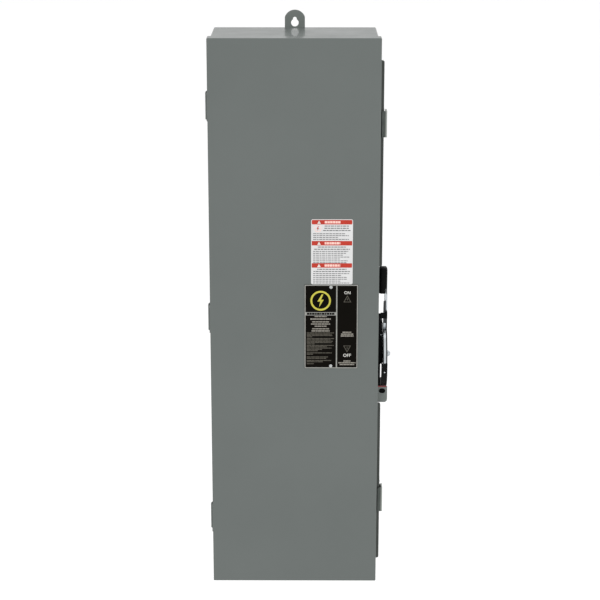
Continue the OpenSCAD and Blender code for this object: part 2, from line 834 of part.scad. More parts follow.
module arc_chutes() {
    color("#9A9D9B") at_breaker() for (i = poles, k = [0:5])
        block([i * pole_pitch - pocket_w / 2, -66, 32 + k * 5],
              [i * pole_pitch + pocket_w / 2, -40, 33.5 + k * 5]);
}

module trip_units() {
    color("#3B3D40") at_breaker() for (i = poles)
        block([i * pole_pitch - 11.5, -60, chamber_z[0] + 1], [i * pole_pitch + 11.5, chamber_back, -36]);
}

module trip_button() {
    color("#B3302C") at_breaker() {
        rod_y(button_x, split_y - 24, button_z, 9, 3);
        rod_y(button_x, split_y - 22, button_z, 2.6, 4.4);
    }
}

// ---------- terminals ----------

module lug(x, z0, z1) {
    difference() {
        block([x - 11.5, -62, z0], [x + 11.5, pocket_y, z1]);
        rod_z(x, -50, z0 - 1, z1 - z0 + 2, lug_r);
        rod_y(x, -50, (z0 + z1) / 2, 14, 5.5);
    }
}

module line_lugs() {
    hz = breaker_h / 2;
    color("#C6C9C8") at_breaker() for (i = poles) lug(i * pole_pitch, hz - pocket_l, hz - 2);
}

module load_lugs() {
    hz = breaker_h / 2;
    color("#C6C9C8") at_breaker() for (i = poles) lug(i * pole_pitch, 2 - hz, pocket_l - hz);
}

module lug_screws() {
    mid = breaker_h / 2 - 14;
    color("#9EA1A0") at_breaker() for (i = poles, s = [-1, 1]) difference() {
        rod_y(i * pole_pitch, -58, s * mid, 6.5, 5.4);
        translate([i * pole_pitch, -61.5, s * mid]) rotate([90, 0, 0]) cylinder(h = 5, r = 3, $fn = 6);
    }
}

ground_x = [30, 100];
ground_z = -330;

module ground_bar() {
    color("#C6C9C8") difference() {
        block([ground_x[0], -sheet - 12, ground_z - 6], [ground_x[1], -sheet, ground_z + 6]);
        for (x = [ground_x[0] + 9:13:ground_x[1] - 8]) {
            rod_z(x, -sheet - 6, ground_z - 7, 14, 3.6);
            rod_y(x, -sheet - 6, ground_z, 8, 2.6);
        }
    }
}

module ground_screws() {
    color("#3F7A4B") for (x = [ground_x[0] + 9:13:ground_x[1] - 8])
        front_screw(x, -sheet - 12, ground_z, 4.2, 2.6, 2.5, 2.2);
}

// ---------- output ----------

back_panel();
mounting_tabs();
body_shell();
door_panel();
keeper_strips();
door_gasket();
nameplate();
nameplate_rivets();
warning_label();
hinge_body_leaf(hinge_z[0]);  // hinge_body_leaf_top
hinge_body_leaf(hinge_z[1]);  // hinge_body_leaf_middle
hinge_body_leaf(hinge_z[2]);  // hinge_body_leaf_bottom
hinge_door_leaf(hinge_z[0]);  // hinge_door_leaf_top
hinge_door_leaf(hinge_z[1]);  // hinge_door_leaf_middle
hinge_door_leaf(hinge_z[2]);  // hinge_door_leaf_bottom
hinge_pins();
latch_base(latch_z);  // latch_base_upper
latch_base(-latch_z);  // latch_base_lower
latch_pivot_pins();
latch_lever(latch_z);  // latch_lever_upper
latch_lever(-latch_z);  // latch_lever_lower
latch_hook_pin(latch_z);  // latch_hook_pin_upper
latch_hook_pin(-latch_z);  // latch_hook_pin_lower
latch_hook(latch_z);  // latch_hook_upper
latch_hook(-latch_z);  // latch_hook_lower
handle_bracket();
handle_housing();
housing_screws();
position_flag();
shaft_bushing();
handle_shaft();
handle_lever();
lever_cover();
handle_grip();
hub_bumper();
pivot_screw();
release_slide();
drive_pinion();
drive_rack();
toggle_yoke();
drive_bracket();
rack_guides();
mounting_pan();
pan_standoffs();
pan_screws();
breaker_base();
breaker_cover();
breaker_screws();
breaker_toggle();
toggle_pin();
contact_carrier();
fixed_contacts();
arc_chutes();
trip_units();
trip_button();
line_lugs();
load_lugs();
lug_screws();
ground_bar();
ground_screws();
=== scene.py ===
# Looks of the wall-hung disconnect box: materials, printed plates, small fittings, light and camera.
# Places are in metres in the CAD frame: X right, Y into the wall, Z up, origin on the wall face.
# Print and fittings are sized in mm, which MM turns into metres.
import json
import math

import bmesh
import bpy
from mathutils import Matrix, Vector


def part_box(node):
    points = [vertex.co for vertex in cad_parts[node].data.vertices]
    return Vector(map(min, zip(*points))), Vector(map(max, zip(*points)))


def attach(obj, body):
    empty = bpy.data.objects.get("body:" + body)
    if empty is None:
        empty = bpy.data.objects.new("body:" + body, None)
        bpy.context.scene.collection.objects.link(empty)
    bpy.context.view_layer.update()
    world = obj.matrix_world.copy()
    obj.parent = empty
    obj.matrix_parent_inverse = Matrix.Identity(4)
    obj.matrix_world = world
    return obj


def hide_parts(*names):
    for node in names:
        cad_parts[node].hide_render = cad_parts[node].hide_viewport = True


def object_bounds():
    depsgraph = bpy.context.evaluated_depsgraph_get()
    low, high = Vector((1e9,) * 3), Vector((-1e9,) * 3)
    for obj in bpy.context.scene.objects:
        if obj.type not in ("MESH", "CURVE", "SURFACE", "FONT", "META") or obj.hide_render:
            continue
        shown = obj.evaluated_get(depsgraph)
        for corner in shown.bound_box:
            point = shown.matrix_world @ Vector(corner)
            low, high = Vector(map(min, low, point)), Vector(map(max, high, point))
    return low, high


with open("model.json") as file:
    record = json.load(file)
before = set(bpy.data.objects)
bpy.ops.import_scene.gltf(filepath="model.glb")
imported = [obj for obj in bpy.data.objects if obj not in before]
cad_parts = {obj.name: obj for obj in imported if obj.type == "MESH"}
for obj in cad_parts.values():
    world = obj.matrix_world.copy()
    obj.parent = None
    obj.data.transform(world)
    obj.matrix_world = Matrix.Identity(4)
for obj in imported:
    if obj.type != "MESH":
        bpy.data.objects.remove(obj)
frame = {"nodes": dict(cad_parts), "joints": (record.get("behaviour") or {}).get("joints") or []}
cad_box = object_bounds()

MM = 0.001
SHARP_ANGLE = 32                        # degrees at an edge, from which it is shaded sharp

# Surfaces
RELIEF_DEPTH = 0.0002                   # depth of a surface's grain, in metres
WORN_SCALE = 14                         # worn marks to one blotch
WORN_SHARE = 0.8                        # how far a worn mark covers the colour under it
WORN_EDGE = 0.06                        # how soft a worn mark's edge is
GLOSS_SCALE = 3.1                       # changes of gloss to one blotch
HOOK_HIGHLIGHT_X = (0.1336, 0.1364)          # where a latch hook turns from its dark flat to a painted highlight along its edge

# Print
INK = 0.06                              # how far a printed mark stands proud
BOLT_SHAPE = ((0.08, 0.5), (-0.24, -0.06), (-0.03, -0.06), (-0.12, -0.5),
              (0.24, 0.08), (0.03, 0.08), (0.2, 0.5))
WORD_SHORT = 0.7                        # a word's length in letters: its least, and its range
WORD_RANGE = 0.9
WORD_STEP = 1.7                         # from one word to the next, in the sine that varies them
WORD_LEAST = 0.6                        # a line ends where less than this is left
WORD_GAP = 0.55                         # between words, plus a share of the line's height
WORD_GAP_SHARE = 0.25
LINE_FULL = 0.98                        # the widest line, as a share of the space
LINE_STEPS = (2.7, 1.9, 3.1)            # from one block and line to the next, in the sines
CAPITAL_SHARE = 0.72                    # height of a capital as a share of the font's size
WORD_SPREAD = 0.006                     # how much a word's strokes are fattened, as a share of its height
PLATE_BORDER_FROM = 0.15                # border of the data plate: its outer and inner edge
PLATE_BORDER_TO = 1.5
PLATE_LEFT_COLUMN = 48.4                # from the plate's left edge to its divider
PLATE_DIVIDER_HALF = 0.9
PLATE_STRIP = (47.8, 42.8)              # the grey strip under the emblem, below the plate's top
LABEL_BAND = 6.8                        # height of one red heading on the label
LABEL_EDGE = 1.0                        # white edge outside the headings
LABEL_TEXT_GAP = 1.8                    # between a heading and its first line

# Handle
LEVER_LEAN = 7.0                        # degrees by which the grip leans back from upright
GRIP_LOW = 103.0                        # the grip's foot and tip, from the handle's axis
GRIP_TOP = 144.0
GRIP_HALF_DEPTH = 8.6
GRIP_DOME = 5                           # height of the dome that closes the tip
GRIP_RIBS = (8, 33)                     # where its faint ribs start and end, above the foot
GRIP_RIB_PITCH = 5
GRIP_RIB_HEIGHT = 0.2
GRIP_CORNER = 0.55                      # power that squares the oval section

# Stage and camera
FLOOR_REACH = 14.0                      # from the middle of the floor to its edge
FLOOR_DROP = 0.55                       # from the box's lowest point down to the floor
WORLD_STRENGTH = 1.03
CAMERA_PLACE = (0.0207, -2.7598, 0.7624)
CAMERA_PITCH = 15.632
CAMERA_YAW = 0.268
CAMERA_LENS = 108.2
CAMERA_SENSOR = 36
CAMERA_REACH = 60

JOINTS = {joint["name"]: joint for joint in frame["joints"]}


# ---------- materials ----------

def linear(hex_colour):
    """Linear RGBA of an sRGB colour such as "#707772"."""
    parts = [int(hex_colour[i:i + 2], 16) / 255 for i in (1, 3, 5)]
    return [c / 12.92 if c <= 0.04045 else ((c + 0.055) / 1.055) ** 2.4 for c in parts] + [1.0]


def add_noise(tree, coords, scale, detail, stretch=(1, 1, 1)):
    """A noise texture in object space; stretch draws it out along an axis, as brushing does."""
    mapping = tree.nodes.new("ShaderNodeMapping")
    mapping.inputs["Scale"].default_value = stretch
    noise = tree.nodes.new("ShaderNodeTexNoise")
    noise.inputs["Scale"].default_value = scale
    noise.inputs["Detail"].default_value = detail
    tree.links.new(coords.outputs["Object"], mapping.inputs["Vector"])
    tree.links.new(mapping.outputs["Vector"], noise.inputs["Vector"])
    return noise.outputs["Fac"]


def remap(tree, value, low, high, from_low=0.3, from_high=0.7):
    """value, taken from one range to another and held inside it."""
    node = tree.nodes.new("ShaderNodeMapRange")
    node.inputs["From Min"].default_value = from_low
    node.inputs["From Max"].default_value = from_high
    node.inputs["To Min"].default_value = low
    node.inputs["To Max"].default_value = high
    tree.links.new(value, node.inputs["Value"])
    return node.outputs["Result"]


def mix_colour(tree, factor, first, second):
    """A colour between two; each is an RGBA list or an output socket."""
    node = tree.nodes.new("ShaderNodeMix")
    node.data_type = "RGBA"
    tree.links.new(factor, node.inputs["Factor"])
    for socket, colour in (("A", first), ("B", second)):
        target = [s for s in node.inputs if s.name == socket and s.type == "RGBA"][0]
        if isinstance(colour, list):
            target.default_value = colour
        else:
            tree.links.new(colour, target)
    return [s for s in node.outputs if s.type == "RGBA"][0]


def finish_of(name, light, dark, rough, metallic=0.0, *, patch, grain, bump, coat=0.0, coat_rough=0.12,
              stretch=(1, 1, 1), worn=None, worn_from=0.62, specular=0.5, edge_highlight=None):
    """A surface with blotches between two colours, a grain in its bump and gloss that varies.

    rough is the range of its roughness; patch and grain are how many blotches and grains go to a metre,
    roughly. worn adds scattered marks of that colour. edge_highlight is a painted highlight: a brighter
    colour that takes over between the two X values of HOOK_HIGHLIGHT_X, where a hook's edge catches the
    light.
    """
    mat = bpy.data.materials.new(name)
    mat.use_nodes = True
    tree = mat.node_tree
    shader = tree.nodes["Principled BSDF"]
    coords = tree.nodes.new("ShaderNodeTexCoord")
    blotch = add_noise(tree, coords, patch, 6.0)
    fine = add_noise(tree, coords, grain, 3.0, stretch)
    colour = mix_colour(tree, remap(tree, blotch, 0, 1), linear(light), linear(dark))
    if worn:
        marks = add_noise(tree, coords, patch * WORN_SCALE, 8.0)
        cover = remap(tree, marks, 0, WORN_SHARE, worn_from, worn_from + WORN_EDGE)
        colour = mix_colour(tree, cover, colour, linear(worn))
    # Painted highlight: a brighter band of colour across X, for the light on a latch hook's edge.
    if edge_highlight:
        split = tree.nodes.new("ShaderNodeSeparateXYZ")
        tree.links.new(coords.outputs["Object"], split.inputs["Vector"])
        cover = remap(tree, split.outputs["X"], 0, 1, *HOOK_HIGHLIGHT_X)
        colour = mix_colour(tree, cover, colour, linear(edge_highlight))
    tree.links.new(colour, shader.inputs["Base Color"])
    smear = add_noise(tree, coords, patch * GLOSS_SCALE, 5.0, stretch)
    tree.links.new(remap(tree, smear, rough[0], rough[1]), shader.inputs["Roughness"])
    shader.inputs["Metallic"].default_value = metallic
    shader.inputs["Specular IOR Level"].default_value = specular
    shader.inputs["Coat Weight"].default_value = coat
    shader.inputs["Coat Roughness"].default_value = coat_rough
    relief = tree.nodes.new("ShaderNodeBump")
    relief.inputs["Strength"].default_value = bump
    relief.inputs["Distance"].default_value = RELIEF_DEPTH
    tree.links.new(fine, relief.inputs["Height"])
    tree.links.new(relief.outputs["Normal"], shader.inputs["Normal"])
    return mat


BRUSHED = (1, 1, 0.12)                  # draws a grain out along Z
MATERIALS = {
    "paint": finish_of("enclosure_paint", "#616664", "#5D6260", (0.30, 0.42), patch=5, grain=700,
                       bump=0.10, coat=0.28, coat_rough=0.05, specular=0.08),
    # Painted light: a lighter copy of the enclosure paint for the handle bracket and hanger tabs,
    # standing in for the light they catch.
    "paint_painted_light": finish_of("bracket_paint_painted_light", "#6F7572", "#6A706D", (0.28, 0.40), patch=7, grain=750,
                             bump=0.10, coat=0.10, specular=0.4),
    "zinc": finish_of("zinc_plate", "#C9CDCF", "#A9AFB4", (0.18, 0.36), 1.0, patch=60, grain=2600,
                      bump=0.12, stretch=BRUSHED, worn="#8F8A78", worn_from=0.66),
    # Painted shade: a darker paint on the keeper strips, for the lip recessed behind the door's flange,
    # which lies in shade.
    "strip": finish_of("keeper_strip_painted_shade", "#4A4E4B", "#414542", (0.4, 0.55), patch=30, grain=1500,
                       bump=0.12, specular=0.25),
    # Latch hooks: dark steel with a painted highlight along the edge.
    "hook": finish_of("latch_hook_steel_painted_highlight", "#565B58", "#4A4F4C", (0.3, 0.45), 0.8, patch=60,
                      grain=2600, bump=0.12, stretch=BRUSHED, edge_highlight="#A9ADA8"),
    "latch": finish_of("latch_zinc", "#7C8081", "#5F6364", (0.24, 0.42), 1.0, patch=60, grain=2600,
                       bump=0.12, stretch=BRUSHED, worn="#55524A", worn_from=0.66),
    "dark_steel": finish_of("dark_steel", "#47494A", "#353738", (0.35, 0.55), 0.7, patch=70,
                            grain=2200, bump=0.15, specular=0.2),
    "rubber": finish_of("gasket_rubber", "#1E1F20", "#141516", (0.75, 0.92), patch=40, grain=1500,
                        bump=0.6, specular=0.2),
    "plate": finish_of("plate_black", "#0C0A07", "#090805", (0.26, 0.4), patch=30, grain=1800,
                       bump=0.05, specular=0.03),
    "vinyl": finish_of("label_white", "#CFCFCF", "#C6C6C6", (0.32, 0.45), patch=30, grain=1900,
                       bump=0.06),
    "aluminium": finish_of("rivet_aluminium", "#C6C8C7", "#A3A6A6", (0.25, 0.42), 1.0, patch=90,
                           grain=2400, bump=0.1),
    "black": finish_of("black_plastic", "#0E0F10", "#090A0A", (0.34, 0.5), patch=45, grain=3200,
                       bump=0.28, specular=0.06),
    "grip": finish_of("grip_plastic", "#0B0C0C", "#070808", (0.28, 0.42), patch=45, grain=3000,
                      bump=0.2, specular=0.06),
    "red": finish_of("flag_red", "#8E2228", "#741A20", (0.3, 0.45), patch=80, grain=2500, bump=0.1),
    "button": finish_of("button_red", "#B5302A", "#9A2722", (0.28, 0.42), patch=90, grain=2500,
                        bump=0.1),
    "bronze": finish_of("bushing_bronze", "#B79A5E", "#94794A", (0.3, 0.5), 1.0, patch=120,
                        grain=2200, bump=0.2),
    "nylon": finish_of("guide_nylon", "#D9D6C8", "#C9C5B4", (0.4, 0.55), patch=60, grain=2600,
                       bump=0.12),
    "breaker": finish_of("breaker_plastic", "#26272A", "#1B1C1F", (0.42, 0.6), patch=35, grain=2800,
                         bump=0.32),
    "copper": finish_of("copper", "#B4714A", "#8A5232", (0.25, 0.45), 1.0, patch=80, grain=2300,
                        bump=0.15, worn="#5E3A28"),
    "lug": finish_of("lug_aluminium", "#CFD1D1", "#B0B3B4", (0.28, 0.45), 1.0, patch=70, grain=2400,
                     bump=0.15),
    "trip": finish_of("trip_plastic", "#3A3C40", "#2C2E31", (0.4, 0.6), patch=60, grain=2600,
                      bump=0.25),
    "green": finish_of("ground_green", "#3C7A4C", "#2E6240", (0.3, 0.5), 0.5, patch=90, grain=2400,
                       bump=0.15),
    "ink_white": finish_of("ink_white", "#D6D4CE", "#C4C3BC", (0.35, 0.5), patch=200, grain=3000,
                           bump=0.05),
    "ink_pink": finish_of("ink_pink", "#EDC6BD", "#E6B5AA", (0.35, 0.5), patch=200, grain=3000,
                          bump=0.05),
    "ink_grey": finish_of("ink_grey", "#8F8F8A", "#7F7F7A", (0.35, 0.5), patch=200, grain=3000,
                          bump=0.05),
    "ink_mid": finish_of("ink_mid", "#8C8880", "#7A766E", (0.35, 0.5), patch=200, grain=3000,
                         bump=0.05, specular=0.1),
    "ink_dim": finish_of("ink_dim", "#57544C", "#4A4740", (0.4, 0.55), patch=200, grain=3000,
                         bump=0.05, specular=0.05),
    "ink_text": finish_of("ink_text", "#6C6C6E", "#555557", (0.35, 0.5), patch=200, grain=3000,
                          bump=0.05),
    "ink_red": finish_of("ink_red", "#B43120", "#A62B1B", (0.32, 0.46), patch=120, grain=3000,
                         bump=0.05, specular=0.3),
    "ink_yellow": finish_of("ink_yellow", "#BDB744", "#AFA83A", (0.3, 0.45), patch=120, grain=3000,
                            bump=0.05, specular=0.3),
}

LATCHES = ("upper", "lower")
HINGES = ("top", "middle", "bottom")
HINGE_LEAVES = [f"hinge_{side}_leaf_{place}" for side in ("body", "door") for place in HINGES]
HOOK_PINS = [f"latch_hook_pin_{place}" for place in LATCHES]
NODE_MATERIALS = {
    "paint": ["back_panel", "body_shell", "door_panel"] + HINGE_LEAVES,
    # The hanger tabs and handle bracket take the lighter copy of the paint: painted light.
    "paint_painted_light": ["mounting_tabs", "handle_bracket"],
    "rubber": ["door_gasket"],
    "plate": ["nameplate"],
    "aluminium": ["nameplate_rivets"],
    "vinyl": ["warning_label"],
    "dark_steel": ["hinge_pins", "latch_pivot_pins", "release_slide", "arc_chutes", "drive_pinion",
                   "drive_rack"] + HOOK_PINS,
    "latch": [f"latch_{part}_{place}" for part in ("base", "lever") for place in LATCHES],
    "hook": [f"latch_hook_{place}" for place in LATCHES],
    # The keeper strips take the darker paint: painted shade on the recessed lip.
    "strip": ["keeper_strips"],
    "zinc": ["housing_screws", "handle_shaft", "handle_lever", "pivot_screw", "toggle_yoke",
             "drive_bracket", "mounting_pan", "pan_standoffs", "pan_screws", "breaker_screws",
             "toggle_pin", "lug_screws"],
    "black": ["handle_housing", "lever_cover", "hub_bumper"],
    "grip": ["handle_grip"],
    "red": ["position_flag"],
    "bronze": ["shaft_bushing"],
    "nylon": ["rack_guides"],
    "breaker": ["breaker_base", "breaker_cover", "breaker_toggle"],
    "copper": ["contact_carrier", "fixed_contacts"],
    "lug": ["line_lugs", "load_lugs", "ground_bar"],
    "trip": ["trip_units"],
    "button": ["trip_button"],
    "green": ["ground_screws"],
}


def dress_nodes():
    """Gives every CAD node its material and shades its round faces smooth."""
    for key, names in NODE_MATERIALS.items():
        for name in names:
            node = frame["nodes"][name]
            for material_slot in node.material_slots:
                material_slot.material = MATERIALS[key]
            node.data.shade_smooth()
            node.data.set_sharp_from_angle(angle=math.radians(SHARP_ANGLE))


# ---------- mesh helpers ----------

def ride(piece, body):
    """Puts a new object in the scene, riding on a body."""
    bpy.context.scene.collection.objects.link(piece)
    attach(piece, body)


def add_piece(name, mesh_builder, material, body, sharp=SHARP_ANGLE):
    """A new object from a bmesh, with a material, riding on a body."""
    mesh = bpy.data.meshes.new(name)
    mesh_builder.normal_update()
    mesh_builder.to_mesh(mesh)
    mesh_builder.free()
    mesh.materials.append(MATERIALS[material])
    mesh.shade_smooth()
    mesh.set_sharp_from_angle(angle=math.radians(sharp))
    piece = bpy.data.objects.new(name, mesh)
    ride(piece, body)
    return piece


def join_rings(mesh, rings):
    """Faces between each ring of points and the next, with the same number of points in each."""
    for first, second in zip(rings, rings[1:]):
        for i in range(len(first)):
            j = (i + 1) % len(first)
            mesh.faces.new((first[i], first[j], second[j], second[i]))


def close_tip(mesh, ring, tip):
    """Faces from the last ring of points to a tip."""
    for i in range(len(ring)):
        mesh.faces.new((ring[i], ring[(i + 1) % len(ring)], tip))


def add_prism(mesh, outline, y, thick):
    """A closed plate on Y = y, its outline in (X, Z) mm, standing thick mm towards the front."""
    back = [mesh.verts.new((x * MM, y, z * MM)) for x, z in outline]
    front = [mesh.verts.new((x * MM, y - thick * MM, z * MM)) for x, z in outline]
    mesh.faces.new(front)
    mesh.faces.new(list(reversed(back)))
    join_rings(mesh, (back, front))


def add_bar(mesh, x0, x1, z0, z1, y):
    """A printed bar."""
    add_prism(mesh, [(x0, z0), (x1, z0), (x1, z1), (x0, z1)], y, INK)


def add_frame(mesh, outer, inner, y):
    """A closed printed ring between two outlines of the same number of points."""
    rings = []
    for outline, depth in ((outer, 0), (outer, INK), (inner, INK), (inner, 0)):
        rings.append([mesh.verts.new((x * MM, y - depth * MM, z * MM)) for x, z in outline])
    join_rings(mesh, rings + rings[:1])


def rounded(x0, x1, z0, z1, radius, steps=6):
    """Points of a rectangle with round corners."""
    corners = ((x1 - radius, z1 - radius, 0), (x0 + radius, z1 - radius, 90),
               (x0 + radius, z0 + radius, 180), (x1 - radius, z0 + radius, 270))
    points = []
    for cx, cz, start in corners:
        for k in range(steps + 1):
            angle = math.radians(start + 90 * k / steps)
            points.append((cx + radius * math.cos(angle), cz + radius * math.sin(angle)))
    return points


def inset(x0, x1, z0, z1, by, radius):
    """Points of a rectangle with round corners, drawn in from the given edges."""
    return rounded(x0 + by, x1 - by, z0 + by, z1 - by, radius)


def circle_points(cx, cz, radius, count=32):
    turns = [2 * math.pi * k / count for k in range(count)]
    return [(cx + radius * math.cos(turn), cz + radius * math.sin(turn)) for turn in turns]


def add_dome(mesh, centre, radius, height, axis, rings=5, around=20):
    """A rivet head: a low dome in mm whose flat side is at centre, standing along axis."""
    turn = Vector((0, 0, 1)).rotation_difference(Vector(axis)).to_matrix().to_4x4()
    place = Matrix.Translation(Vector(centre)) @ turn
    levels = []
    for k in range(rings):
        rise = math.pi / 2 * k / rings
        reach = radius * MM * math.cos(rise)
        z = height * MM * math.sin(rise)
        levels.append([mesh.verts.new(place @ Vector((reach * math.cos(a), reach * math.sin(a), z)))
                       for a in (2 * math.pi * i / around for i in range(around))])
    tip = mesh.verts.new(place @ Vector((0, 0, height * MM)))
    mesh.faces.new(list(reversed(levels[0])))
    join_rings(mesh, levels)
    close_tip(mesh, levels[-1], tip)


def add_word(name, word, x, z, height, y, body):
    """A printed word, its capitals height mm high, centred at (x, z) mm on Y = y."""
    curve = bpy.data.curves.new(name + "_outline", "FONT")
    curve.body = word
    curve.align_x = "CENTER"
    curve.align_y = "CENTER"
    curve.size = height / CAPITAL_SHARE * MM
    curve.extrude = INK / 2 * MM
    curve.offset = WORD_SPREAD * height * MM
    source = bpy.data.objects.new(name + "_source", curve)
    bpy.context.scene.collection.objects.link(source)
    bpy.context.view_layer.update()
    graph = bpy.context.evaluated_depsgraph_get()
    mesh = bpy.data.meshes.new_from_object(source.evaluated_get(graph))
    bpy.data.objects.remove(source)
    upright = Matrix.Rotation(math.pi / 2, 4, "X")
    mesh.transform(Matrix.Translation((x * MM, y - INK / 2 * MM, z * MM)) @ upright)
    mesh.materials.clear()
    mesh.materials.append(MATERIALS["ink_white"])
    ride(bpy.data.objects.new(name, mesh), body)


# ---------- print on the plates ----------

def front_edges(node):
    """A node's left, right, bottom and top edges in mm, and the Y of its front in metres."""
    low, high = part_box(node)
    return low[0] / MM, high[0] / MM, low[2] / MM, high[2] / MM, low[1]


def word_row(mesh, x0, x1, low, height, y, seed, letter=3.0, gap=0.5):
    """A row of short bars between x0 and x1, which stands for a line of print."""
    cursor = x0
    count = 0
    while cursor < x1 - WORD_LEAST:
        length = WORD_SHORT + WORD_RANGE * abs(math.sin(seed + count * WORD_STEP))
        end = min(cursor + letter * length, x1)
        add_bar(mesh, cursor, end, low, low + height, y)
        cursor = end + gap
        count += 1


def text_lines(mesh, x0, x1, top, lines, height, pitch, y, seed, centred=False, share=0.62):
    """Lines of print of uneven length below top, the shortest as wide as share of the space."""
    gap = WORD_GAP + height * WORD_GAP_SHARE
    block_step, line_step, word_seed_step = LINE_STEPS
    for k in range(lines):
        fill = share + (LINE_FULL - share) * abs(math.sin(seed * block_step + k * line_step))
        width = (x1 - x0) * fill
        left = (x0 + x1 - width) / 2 if centred else x0
        word_row(mesh, left, left + width, top - k * pitch - height, height, y,
                 seed + k * word_seed_step, gap=gap)


def centred_rows(mesh, middle, low, pitch, height, halves, y, seed):
    """Rows of print under each other about a middle, each with its own half width."""
    for k, half in enumerate(halves):
        word_row(mesh, middle - half, middle + half, low - k * pitch, height, y, seed + k,
                 letter=3.4, gap=0.4)


def bolt_points(cx, cz, size):
    """A plain lightning bolt."""
    return [(cx + x * size, cz + z * size) for x, z in BOLT_SHAPE]


def triangle(cx, base_z, half, height, drawn_in=0):
    """Corners of a triangle standing on base_z, or hanging from it where height is negative."""
    slope = math.hypot(half, height) / half
    sign = 1 if height > 0 else -1
    base = base_z + sign * drawn_in
    tip = base_z + height - sign * drawn_in * slope
    reach = half * (tip - base) / height
    return [(cx - reach, base), (cx + reach, base), (cx, tip)]


def plate_columns():
    """The data plate's divider and the middles of its left and right columns."""
    x0, x1 = front_edges("nameplate")[:2]
    divider = x0 + PLATE_LEFT_COLUMN
    return divider, (x0 + divider) / 2, (divider + x1) / 2


def build_plate_border():
    """Grey border, divider and strip of the data plate, and the dark marks on the strip."""
    x0, x1, z0, z1, y = front_edges("nameplate")
    divider = plate_columns()[0]
    strip_low, strip_high = (z1 - drop for drop in PLATE_STRIP)
    grey = bmesh.new()
    add_frame(grey, inset(x0, x1, z0, z1, PLATE_BORDER_FROM, 1.4),
              inset(x0, x1, z0, z1, PLATE_BORDER_TO, 0.6), y)
    add_bar(grey, divider - PLATE_DIVIDER_HALF, divider + PLATE_DIVIDER_HALF,
            z0 + PLATE_BORDER_TO, z1 - PLATE_BORDER_TO, y)
    add_bar(grey, x0 + PLATE_BORDER_TO, divider - PLATE_DIVIDER_HALF, strip_low, strip_high, y)
    add_piece("plate_frame", grey, "ink_grey", "door")
    marks = bmesh.new()
    word_row(marks, x0 + 3.6, divider - 3.4, strip_low + 0.9, 3.2, y - INK * MM, 4, letter=2.6)
    add_piece("plate_strip_marks", marks, "plate", "door")


def build_plate_headings():
    """Larger print of the data plate, in the left column and above and below the handle positions."""
    _, _, z0, z1, y = front_edges("nameplate")
    _, left, right = plate_columns()
    # Each line's drop below the plate's top, its half width and its height.
    left_lines = ((48.8, 9, 1.6), (52.4, 15.4, 2.2), (57.0, 12.6, 1.8), (60.4, 14.4, 1.8),
                  (63.8, 9, 1.8), (67.9, 12.8, 1.8), (71.2, 13.6, 1.9))
    mid = bmesh.new()
    for k, (drop, half, height) in enumerate(left_lines):
        word_row(mid, left - half, left + half, z1 - drop - height, height, y, 5 + k, letter=3.6)
    centred_rows(mid, right, z1 - 75.2, 2.9, 1.9, (7, 9.2, 9.6), y, 12)
    centred_rows(mid, right, z0 + 10.8, 2.8, 1.7, (5.4, 13.0, 11.0), y, 22)
    add_piece("plate_print_mid", mid, "ink_mid", "door")


def build_plate_small_print():
    """Dim paragraphs of the left column, and the two triangles of the handle positions."""
    x0, _, _, z1, y = front_edges("nameplate")
    divider, _, right = plate_columns()
    margin = 3.4
    height, pitch = 1.25, 2.1
    # Each paragraph's drop below the plate's top, and how much of the column each of its lines fills.
    paragraphs = ((74.6, (0.98, 0.9, 0.92, 0.2)), (83.6, (0.98, 0.86, 0.94, 0.9, 0.3)),
                  (94.4, (0.97, 0.72, 0.9, 0.55, 0.4)), (106.2, (0.9, 0.22)), (112.6, (0.78, 0.7)),
                  (118.2, (0.88, 0.6)), (123.4, (0.25,)))
    dim = bmesh.new()
    for k, (drop, shares) in enumerate(paragraphs):
        for line, share in enumerate(shares):
            width = (divider - x0 - 6.4) * share
            word_row(dim, x0 + margin, x0 + margin + width, z1 - drop - line * pitch - height, height,
                     y, 3 + k + line, letter=4.5)
    half, rise = 5.8, 10.8
    for base, tall in ((z1 - 27.2, rise), (z1 - 95.2, -rise)):
        add_frame(dim, triangle(right, base, half, tall), triangle(right, base, half, tall, 0.9), y)
        add_prism(dim, bolt_points(right, base + tall * 0.38, 4.6), y, INK)
    add_piece("plate_print_dim", dim, "ink_dim", "door")


def build_plate_words():
    """The handle's two positions."""
    _, _, _, z1, y = front_edges("nameplate")
    right = plate_columns()[2]
    add_word("plate_word_on", "ON", right, z1 - 12.6, 4.5, y, "door")
    add_word("plate_word_off", "OFF", right, z1 - 110.9, 4.9, y, "door")


def build_plate_emblem():
    """A plain yellow ring round a lightning bolt."""
    _, _, _, z1, y = front_edges("nameplate")
    left = plate_columns()[1]
    centre_z = z1 - 24.9
    yellow = bmesh.new()
    add_frame(yellow, circle_points(left, centre_z, 15.4, 64), circle_points(left, centre_z, 12.6, 64), y)
    add_prism(yellow, bolt_points(left, centre_z, 20), y, INK)
    add_piece("plate_emblem", yellow, "ink_yellow", "door")


